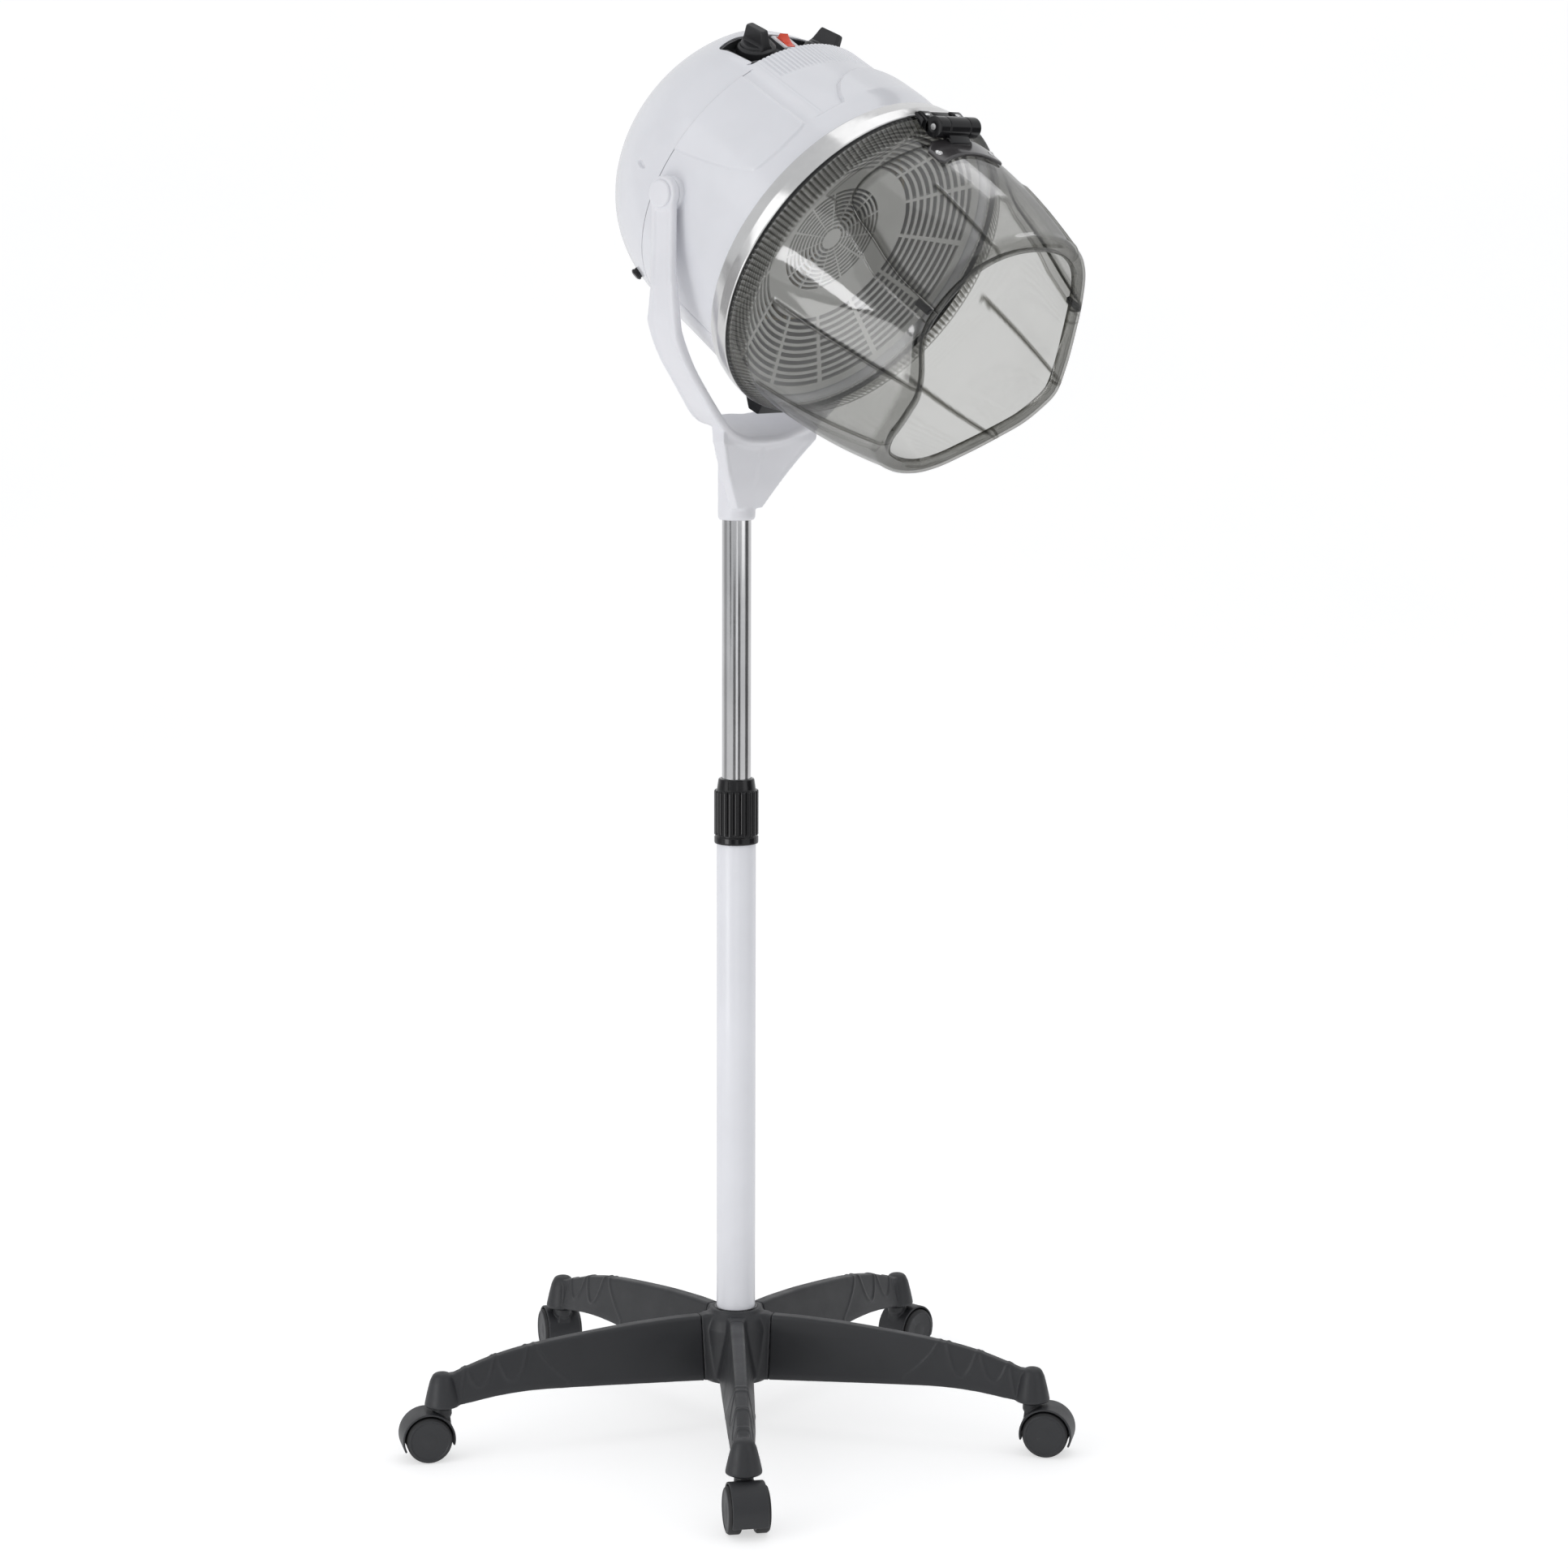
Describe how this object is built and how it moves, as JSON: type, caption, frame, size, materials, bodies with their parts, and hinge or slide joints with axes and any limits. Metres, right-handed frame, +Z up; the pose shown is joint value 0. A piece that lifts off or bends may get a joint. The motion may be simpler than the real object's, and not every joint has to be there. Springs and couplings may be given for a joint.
{
  "type": "hood hair dryer",
  "caption": "Floor-standing salon hood hair dryer: tilting dome with smoked flip-up visor, two dials and a switch, on a fork, sliding column and castered star base.",
  "frame": {"origin": "on the floor, at the centre of the box that encloses the dryer at rest; the column stands at x -14.3 mm, y +17.5 mm", "axes": "+Z up, parallel to the column; the hood opens towards -Y and its tilt axis lies along X; the control dials face up and back"},
  "size_m": [0.647, 0.7138, 1.3633],
  "materials": {
    "gloss_white": "glossy cool white moulding",
    "white_moulding": "satin white moulding",
    "white_enamel": "semi-gloss powder coat on steel tube",
    "chrome": "bright chrome plate, lightly brushed",
    "steel": "plain steel",
    "smoke": "smoke-tinted transparent plastic, polished",
    "gloss_black": "glossy black moulding",
    "black_nylon": "fine-textured black nylon",
    "panel_grey": "dark grey textured moulding",
    "red_button": "translucent red",
    "inner_grey": "pale grey moulding",
    "mica": "mica board"
  },
  "bodies": {
    "stand": {"base_hub": "black_nylon", "base_leg_1": "black_nylon", "base_leg_2": "black_nylon", "base_leg_3": "black_nylon", "base_leg_4": "black_nylon", "base_leg_5": "black_nylon", "caster_stem_1": "steel", "caster_stem_2": "steel", "caster_stem_3": "steel", "caster_stem_4": "steel", "caster_stem_5": "steel", "outer_column": "white_enamel", "column_bush": "gloss_black"},
    "lock_collar": {"height_lock_collar": "gloss_black"},
    "upper_tube": {"upper_tube": "chrome"},
    "yoke": {"yoke": "white_moulding"},
    "hood": {"rear_shell": "gloss_white", "front_shell": "gloss_white", "trim_ring": "chrome", "control_panel": "panel_grey", "pivot_bolt_left": "white_moulding", "pivot_bolt_right": "white_moulding", "visor_collar": "smoke", "visor_skirt": "smoke", "hinge_fixed_leaf": "gloss_black", "hinge_pin": "steel", "air_grille": "inner_grey", "heater_frame": "mica", "heater_element": "steel", "fan_motor": "steel", "timer_unit": "inner_grey", "heat_switch_unit": "inner_grey", "tilt_handle": "gloss_black", "cord_strain_relief": "gloss_black"},
    "visor_door": {"visor_door": "smoke", "hinge_door_leaf": "gloss_black"},
    "timer_knob": {"timer_knob": "gloss_black"},
    "heat_knob": {"heat_knob": "gloss_black"},
    "rocker_switch": {"rocker_switch": "red_button"},
    "fan": {"fan": "black_nylon"},
    "caster_fork_1": {"caster_housing_1": "black_nylon", "caster_axle_1": "steel"},
    "caster_wheel_left_1": {"caster_wheel_left_1": "black_nylon"},
    "caster_wheel_right_1": {"caster_wheel_right_1": "black_nylon"},
    "caster_fork_2": {"caster_housing_2": "black_nylon", "caster_axle_2": "steel"},
    "caster_wheel_left_2": {"caster_wheel_left_2": "black_nylon"},
    "caster_wheel_right_2": {"caster_wheel_right_2": "black_nylon"},
    "caster_fork_3": {"caster_housing_3": "black_nylon", "caster_axle_3": "steel"},
    "caster_wheel_left_3": {"caster_wheel_left_3": "black_nylon"},
    "caster_wheel_right_3": {"caster_wheel_right_3": "black_nylon"},
    "caster_fork_4": {"caster_housing_4": "black_nylon", "caster_axle_4": "steel"},
    "caster_wheel_left_4": {"caster_wheel_left_4": "black_nylon"},
    "caster_wheel_right_4": {"caster_wheel_right_4": "black_nylon"},
    "caster_fork_5": {"caster_housing_5": "black_nylon", "caster_axle_5": "steel"},
    "caster_wheel_left_5": {"caster_wheel_left_5": "black_nylon"},
    "caster_wheel_right_5": {"caster_wheel_right_5": "black_nylon"}
  },
  "joints": [
    {"name": "lock_collar_twist", "type": "hinge", "parent": "stand", "child": "lock_collar", "pos_m": [-0.01431, 0.01749, 0.61], "axis": [0, 0, 1], "range_deg": [0, 120]},
    {"name": "height_slide", "type": "slide", "parent": "stand", "child": "upper_tube", "axis": [0, 0, 1], "range_m": [-0.225, 0.1]},
    {"name": "yoke_swivel", "type": "hinge", "parent": "upper_tube", "child": "yoke", "pos_m": [-0.01431, 0.01749, 0.93], "axis": [0, 0, 1], "range_deg": [-170, 170]},
    {"name": "hood_tilt", "type": "hinge", "parent": "yoke", "child": "hood", "pos_m": [-0.01431, -0.03905, 1.2057], "axis": [-1, 0, 0], "range_deg": [-10, 35]},
    {"name": "visor_door_flip", "type": "hinge", "parent": "hood", "child": "visor_door", "pos_m": [-0.01431, -0.24791, 1.26473], "axis": [-1, 0, 0], "range_deg": [0, 90]},
    {"name": "timer_knob_turn", "type": "hinge", "parent": "hood", "child": "timer_knob", "pos_m": [-0.05731, -0.04659, 1.33272], "axis": [-0.3231, -0.33, 0.887], "range_deg": [0, 300]},
    {"name": "heat_knob_turn", "type": "hinge", "parent": "hood", "child": "heat_knob", "pos_m": [0.02868, -0.04659, 1.33272], "axis": [0.3231, -0.33, 0.887], "range_deg": [0, 270]},
    {"name": "rocker_press", "type": "hinge", "parent": "hood", "child": "rocker_switch", "pos_m": [-0.01431, -0.04205, 1.34163], "axis": [-1, 0, 0], "range_deg": [0, 14]},
    {"name": "fan_spin", "type": "hinge", "parent": "hood", "child": "fan", "pos_m": [-0.01431, -0.03905, 1.2057], "axis": [0, -0.8453, -0.5344], "continuous": true},
    {"name": "caster_swivel_1", "type": "hinge", "parent": "stand", "child": "caster_fork_1", "pos_m": [-0.22866, -0.19241, 0.04], "axis": [0, 0, 1], "continuous": true},
    {"name": "caster_roll_left_1", "type": "hinge", "parent": "caster_fork_1", "child": "caster_wheel_left_1", "pos_m": [-0.23775, -0.20434, 0.022], "axis": [0.7955, -0.606, 0], "continuous": true},
    {"name": "caster_roll_right_1", "type": "hinge", "parent": "caster_fork_1", "child": "caster_wheel_right_1", "pos_m": [-0.23775, -0.20434, 0.022], "axis": [0.7955, -0.606, 0], "continuous": true},
    {"name": "caster_swivel_2", "type": "hinge", "parent": "stand", "child": "caster_fork_2", "pos_m": [0.11908, -0.25122, 0.04], "axis": [0, 0, 1], "continuous": true},
    {"name": "caster_roll_left_2", "type": "hinge", "parent": "caster_fork_2", "child": "caster_wheel_left_2", "pos_m": [0.12673, -0.26412, 0.022], "axis": [0.8599, 0.5105, 0], "continuous": true},
    {"name": "caster_roll_right_2", "type": "hinge", "parent": "caster_fork_2", "child": "caster_wheel_right_2", "pos_m": [0.12673, -0.26412, 0.022], "axis": [0.8599, 0.5105, 0], "continuous": true},
    {"name": "caster_swivel_3", "type": "hinge", "parent": "stand", "child": "caster_fork_3", "pos_m": [0.28247, 0.06132, 0.04], "axis": [0, 0, 1], "continuous": true},
    {"name": "caster_roll_left_3", "type": "hinge", "parent": "caster_fork_3", "child": "caster_wheel_left_3", "pos_m": [0.29746, 0.06155, 0.022], "axis": [-0.0157, 0.9999, 0], "continuous": true},
    {"name": "caster_roll_right_3", "type": "hinge", "parent": "caster_fork_3", "child": "caster_wheel_right_3", "pos_m": [0.29746, 0.06155, 0.022], "axis": [-0.0157, 0.9999, 0], "continuous": true},
    {"name": "caster_swivel_4", "type": "hinge", "parent": "stand", "child": "caster_fork_4", "pos_m": [0.03572, 0.31329, 0.04], "axis": [0, 0, 1], "continuous": true},
    {"name": "caster_roll_left_4", "type": "hinge", "parent": "caster_fork_4", "child": "caster_wheel_left_4", "pos_m": [0.04355, 0.32608, 0.022], "axis": [-0.8526, 0.5225, 0], "continuous": true},
    {"name": "caster_roll_right_4", "type": "hinge", "parent": "caster_fork_4", "child": "caster_wheel_right_4", "pos_m": [0.04355, 0.32608, 0.022], "axis": [-0.8526, 0.5225, 0], "continuous": true},
    {"name": "caster_swivel_5", "type": "hinge", "parent": "stand", "child": "caster_fork_5", "pos_m": [-0.28018, 0.15648, 0.04], "axis": [0, 0, 1], "continuous": true},
    {"name": "caster_roll_left_5", "type": "hinge", "parent": "caster_fork_5", "child": "caster_wheel_left_5", "pos_m": [-0.29263, 0.16484, 0.022], "axis": [-0.5577, -0.83, 0], "continuous": true},
    {"name": "caster_roll_right_5", "type": "hinge", "parent": "caster_fork_5", "child": "caster_wheel_right_5", "pos_m": [-0.29263, 0.16484, 0.022], "axis": [-0.5577, -0.83, 0], "continuous": true}
  ]
}
